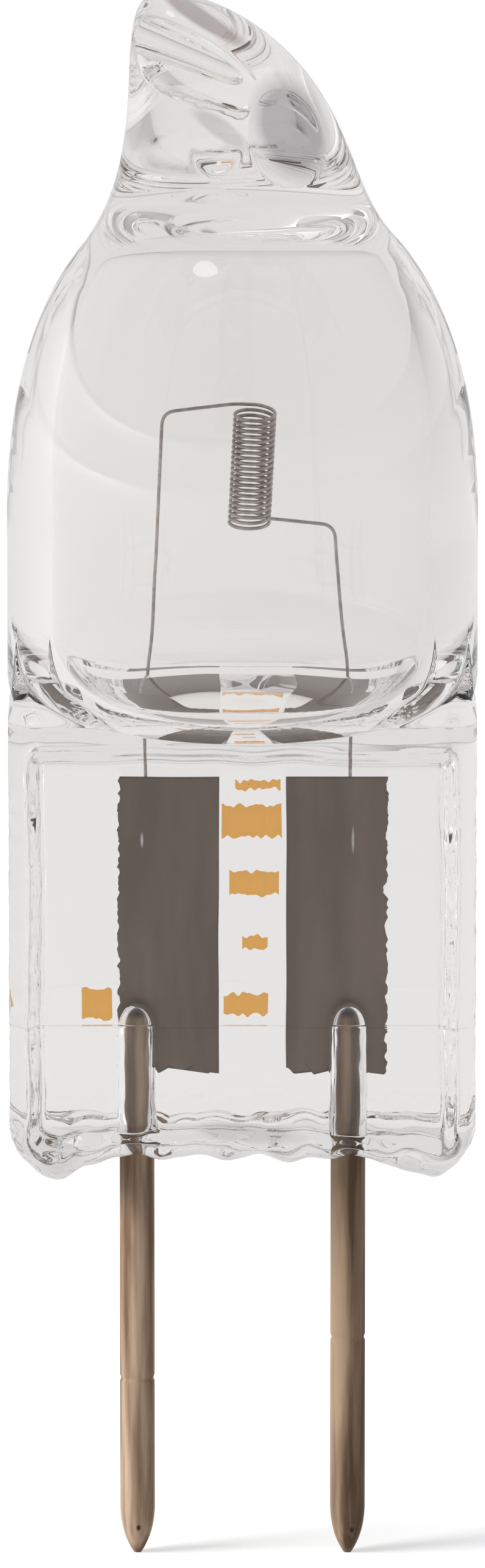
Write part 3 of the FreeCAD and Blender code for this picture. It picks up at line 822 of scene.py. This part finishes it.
def pin_rings(x, ring_above_tip):
    # A turned pin: nose, shank with a shallow ring mark, and domed inner end.
    profile = pin_nose()
    ring = PIN_TIP + ring_above_tip
    for height in np.linspace(PIN_TIP + PIN_NOSE_LENGTH, ring - RING_WIDTH / 2, PIN_RINGS_BELOW_MARK)[1:]:
        profile.append((PIN_RADIUS, height))
    profile.append((PIN_RADIUS - RING_DEPTH, ring))
    for height in np.linspace(ring + RING_WIDTH / 2, PIN_TOP - PIN_INNER_ROUNDING, PIN_RINGS_ABOVE_MARK):
        profile.append((PIN_RADIUS, height))
    for angle in np.linspace(0, math.pi / 2, ROUNDED_END_RINGS)[1:-1]:
        height = PIN_TOP - PIN_INNER_ROUNDING * (1 - math.sin(angle))
        profile.append((PIN_RADIUS * math.cos(angle), height))
    return [plain_ring(radius, height, PIN_COLUMNS, x) for radius, height in profile]


def make_pin(name, node, x, ring_above_tip, material):
    shell = Shell()
    shell.add_rings(pin_rings(x, ring_above_tip))
    pin = shell.piece(name, material)
    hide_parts(node)


# Worn print on the back of the seal


def ink_wear(x, seed, z_middle):
    return INK_WEAR * noise.noise(Vector((INK_WEAR_FINENESS * x, seed, z_middle)))


def ink_block(x_low, x_high, z_middle, half_height):
    # One thin block of ink with worn edges, as rings that run along it.
    near = PANEL_HALF_DEPTH + INK_LIFT
    far = near + INK_THICKNESS
    rings = []
    for x in np.arange(x_low, x_high, INK_STEP):
        low = z_middle - half_height + ink_wear(x, INK_LOW_SEED, z_middle)
        high = z_middle + half_height + ink_wear(x, INK_HIGH_SEED, z_middle)
        rings.append(np.array([(x, near, low), (x, near, high), (x, far, high), (x, far, low)]))
    return rings


def make_print(material):
    shell = Shell()
    for block in INK_BLOCKS:
        shell.add_rings(ink_block(*block))
    shell.piece("worn_print", material)


# Materials


def new_material(name):
    material = bpy.data.materials.new(name)
    material.use_nodes = True
    return material, material.node_tree.nodes["Principled BSDF"]


def tinted_patch(tree, patch):
    # A mix that goes over softly from its first colour to a shade inside one egg-shaped place.
    centre, half_sizes, turn, shade = patch
    place = tree.nodes.new("ShaderNodeTexCoord")
    shape = tree.nodes.new("ShaderNodeMapping")
    shape.vector_type = "TEXTURE"
    shape.inputs["Location"].default_value = Vector(centre) * MM
    shape.inputs["Rotation"].default_value = (0, turn, 0)
    shape.inputs["Scale"].default_value = Vector(half_sizes) * MM
    away = tree.nodes.new("ShaderNodeVectorMath")
    away.operation = "LENGTH"
    inside = tree.nodes.new("ShaderNodeMapRange")
    inside.inputs["From Min"].default_value = PATCH_CORE_SHARE
    inside.inputs["From Max"].default_value = 1
    inside.inputs["To Min"].default_value = 1
    inside.inputs["To Max"].default_value = 0
    mixed = tree.nodes.new("ShaderNodeMixRGB")
    mixed.inputs["Color2"].default_value = (*shade, 1)
    tree.links.new(place.outputs["Object"], shape.inputs["Vector"])
    tree.links.new(shape.outputs["Vector"], away.inputs[0])
    tree.links.new(away.outputs["Value"], inside.inputs["Value"])
    tree.links.new(inside.outputs["Result"], mixed.inputs["Fac"])
    return mixed


def with_patches(tree, colour, patches):
    for patch in patches:
        mixed = tinted_patch(tree, patch)
        tree.links.new(colour, mixed.inputs["Color1"])
        colour = mixed.outputs["Color"]
    return colour


def glass_material():
    material, shader = new_material("quartz_glass")
    tree = material.node_tree
    # Painted shade on the tip and greyer glass at the lower edge tint the glass colour
    first = tinted_patch(tree, PAINTED_TIP_SHADE_AND_GREY_EDGE[0])
    first.inputs["Color1"].default_value = (*GLASS_COLOUR, 1)
    colour = with_patches(tree, first.outputs["Color"], PAINTED_TIP_SHADE_AND_GREY_EDGE[1:])
    tree.links.new(colour, shader.inputs["Base Color"])
    shader.inputs["Transmission Weight"].default_value = 1
    shader.inputs["Roughness"].default_value = 0
    shader.inputs["IOR"].default_value = GLASS_INDEX
    return material


def ink_material():
    # Ink that lets light through, so that its colour also shows from the front.
    material, shader = new_material("worn_ink")
    shader.inputs["Base Color"].default_value = (*INK_COLOUR, 1)
    shader.inputs["Roughness"].default_value = 0.6
    shader.inputs["Transmission Weight"].default_value = 0.9
    shader.inputs["IOR"].default_value = 1.05
    return material


def metal_material(name, light, dark, metallic, roughness, fineness, stretch, patches=()):
    # Metal with a grain between two colours, stretched along the bulb where stretch is below 1.
    material, shader = new_material(name)
    tree = material.node_tree
    place = tree.nodes.new("ShaderNodeTexCoord")
    grain = tree.nodes.new("ShaderNodeTexNoise")
    grain.inputs["Scale"].default_value = fineness
    grain.inputs["Detail"].default_value = GRAIN_DETAIL
    ramp = tree.nodes.new("ShaderNodeValToRGB")
    ramp.color_ramp.elements[0].position = GRAIN_DARK_TO
    ramp.color_ramp.elements[0].color = (*dark, 1)
    ramp.color_ramp.elements[1].position = GRAIN_LIGHT_FROM
    ramp.color_ramp.elements[1].color = (*light, 1)
    shape = tree.nodes.new("ShaderNodeMapping")
    shape.inputs["Scale"].default_value = (1, 1, stretch)
    tree.links.new(place.outputs["Object"], shape.inputs["Vector"])
    tree.links.new(shape.outputs["Vector"], grain.inputs["Vector"])
    tree.links.new(grain.outputs["Fac"], ramp.inputs["Fac"])
    colour = with_patches(tree, ramp.outputs["Color"], patches)
    tree.links.new(colour, shader.inputs["Base Color"])
    shader.inputs["Metallic"].default_value = metallic
    shader.inputs["Specular IOR Level"].default_value = 0.2
    shader.inputs["Roughness"].default_value = roughness
    return material


def tungsten_material():
    light = (0.56, 0.51, 0.48)
    dark = (0.36, 0.32, 0.3)
    return metal_material("tungsten", light, dark, metallic=0.8, roughness=0.4, fineness=4000, stretch=1)


def foil_material():
    light = (0.28, 0.22, 0.18)
    dark = (0.22, 0.17, 0.14)
    # The weld places carry painted highlights
    return metal_material(
        "molybdenum", light, dark, metallic=0.7, roughness=0.5,
        fineness=1500, stretch=0.2, patches=WELD_BULGE_HIGHLIGHTS)


def pin_material(name, light, dark):
    return metal_material(
        name, light, dark, metallic=0.1, roughness=0.45, fineness=3500, stretch=0.06, patches=PIN_MARKS)


# Stage


def shown_rays(tree, glass_share):
    # 1 for rays straight from the camera and a share of it for rays by way of glass or metal.
    path = tree.nodes.new("ShaderNodeLightPath")
    bent = tree.nodes.new("ShaderNodeMath")
    bent.operation = "MAXIMUM"
    dimmed = tree.nodes.new("ShaderNodeMath")
    dimmed.operation = "MULTIPLY"
    dimmed.inputs[1].default_value = glass_share
    shown = tree.nodes.new("ShaderNodeMath")
    shown.operation = "MAXIMUM"
    tree.links.new(path.outputs["Is Glossy Ray"], bent.inputs[0])
    tree.links.new(path.outputs["Is Transmission Ray"], bent.inputs[1])
    tree.links.new(bent.outputs[0], dimmed.inputs[0])
    tree.links.new(path.outputs["Is Camera Ray"], shown.inputs[0])
    tree.links.new(dimmed.outputs[0], shown.inputs[1])
    return shown.outputs[0]


def floor_material():
    material, shader = new_material("floor_white")
    tree = material.node_tree
    shader.inputs["Base Color"].default_value = (*FLOOR_COLOUR, 1)
    shader.inputs["Roughness"].default_value = 1
    shader.inputs["Specular IOR Level"].default_value = 0
    shader.inputs["Emission Color"].default_value = (1, 1, 1, 1)
    strength = tree.nodes.new("ShaderNodeMath")
    strength.operation = "MULTIPLY"
    strength.inputs[1].default_value = FLOOR_GLOW
    tree.links.new(shown_rays(tree, FLOOR_SHARE_IN_GLASS), strength.inputs[0])
    tree.links.new(strength.outputs[0], shader.inputs["Emission Strength"])
    return material


def make_floor():
    size = FLOOR_HALF_SIZE * MM
    z = PIN_TIP * MM
    corners = [(-size, -size, z), (size, -size, z), (size, size, z), (-size, size, z)]
    mesh = bpy.data.meshes.new("floor")
    mesh.from_pydata(corners, [], [(0, 1, 2, 3)])
    mesh.materials.append(floor_material())
    floor = bpy.data.objects.new("floor", mesh)
    bpy.context.scene.collection.objects.link(floor)


def make_world():
    # A white room that is darker in front. Rays straight from the camera see it as plain white.
    world = bpy.data.worlds.new("studio")
    bpy.context.scene.world = world
    world.use_nodes = True
    tree = world.node_tree
    place = tree.nodes.new("ShaderNodeTexCoord")
    parts = tree.nodes.new("ShaderNodeSeparateXYZ")
    room = tree.nodes.new("ShaderNodeMapRange")
    room.inputs["From Min"].default_value = ROOM_FRONT
    room.inputs["From Max"].default_value = ROOM_BACK
    room.inputs["To Min"].default_value = ROOM_FRONT_LEVEL
    room.inputs["To Max"].default_value = 1
    path = tree.nodes.new("ShaderNodeLightPath")
    seen = tree.nodes.new("ShaderNodeMath")
    seen.operation = "MAXIMUM"
    level = tree.nodes.new("ShaderNodeMix")
    level.inputs["A"].default_value = ROOM_LIGHT
    background = tree.nodes["Background"]
    background.inputs["Color"].default_value = (1, 1, 1, 1)
    tree.links.new(place.outputs["Generated"], parts.inputs["Vector"])
    tree.links.new(parts.outputs["Y"], room.inputs["Value"])
    tree.links.new(shown_rays(tree, ROOM_SHARE_IN_GLASS), level.inputs["Factor"])
    tree.links.new(room.outputs["Result"], seen.inputs[0])
    tree.links.new(path.outputs["Is Camera Ray"], seen.inputs[1])
    tree.links.new(seen.outputs[0], level.inputs["B"])
    tree.links.new(level.outputs["Result"], background.inputs["Strength"])


def make_lamp(name, azimuth, elevation, distance, size, power, mirrored):
    # A round soft lamp aimed at the bulb, which shows in mirror images only where that is asked for.
    light = bpy.data.lights.new(name, "AREA")
    light.shape = "DISK"
    light.size = size * MM
    light.energy = power
    lamp = bpy.data.objects.new(name, light)
    bpy.context.scene.collection.objects.link(lamp)
    level = math.cos(elevation)
    away = Vector((math.sin(azimuth) * level, -math.cos(azimuth) * level, math.sin(elevation)))
    target = Vector((0, 0, VIEW_HEIGHT))
    lamp.location = (target + away * distance) * MM
    lamp.rotation_euler = (-away).to_track_quat("-Z", "Y").to_euler()
    lamp.visible_glossy = mirrored
    lamp.visible_transmission = False


def make_lamps():
    make_lamp(
        "key", azimuth=math.radians(-75), elevation=math.radians(25),
        distance=800, size=400, power=7.5, mirrored=False)
    make_lamp(
        "top", azimuth=math.radians(-54), elevation=math.radians(70),
        distance=300, size=60, power=0.038, mirrored=True)


def make_camera():
    data = bpy.data.cameras.new("camera")
    data.sensor_width = SENSOR
    data.lens = SENSOR * VIEW_DISTANCE / FRAME_HEIGHT
    data.clip_start = VIEW_NEAR * MM
    data.clip_end = VIEW_FAR * MM
    camera = bpy.data.objects.new("camera", data)
    bpy.context.scene.collection.objects.link(camera)
    back = Vector((0, -math.cos(VIEW_ELEVATION), math.sin(VIEW_ELEVATION)))
    camera.location = (Vector((0, 0, VIEW_HEIGHT)) + back * VIEW_DISTANCE) * MM
    camera.rotation_euler = (-back).to_track_quat("-Z", "Y").to_euler()
    bpy.context.scene.camera = camera


def set_render_options():
    # The glass needs many bounces, because light crosses its walls several times.
    scene = bpy.context.scene
    scene.view_settings.view_transform = "Standard"
    scene.cycles.max_bounces = 32
    scene.cycles.transmission_bounces = 24
    scene.cycles.glossy_bounces = 32


def main():
    set_render_options()
    make_glass(glass_material())
    make_filament(tungsten_material())
    foil = foil_material()
    make_foil("foil_strip_left", "foil_left", FOIL_LEFT_X, -1, foil)
    make_foil("foil_strip_right", "foil_right", FOIL_RIGHT_X, 1, foil)
    # Both pins are one metal; the right pin takes a darker copy of its colours, which is painted shade
    pale = pin_material("pale_pin", light=(0.64, 0.47, 0.33), dark=(0.22, 0.13, 0.08))
    dark = pin_material("pin_in_painted_shade", light=(0.46, 0.32, 0.21), dark=(0.13, 0.075, 0.045))
    make_pin("contact_pin_left", "pin_left", -PIN_X, RING_LEFT_ABOVE_TIP, pale)
    make_pin("contact_pin_right", "pin_right", PIN_X, RING_RIGHT_ABOVE_TIP, dark)
    make_print(ink_material())
    make_floor()
    make_world()
    make_lamps()
    make_camera()


main()
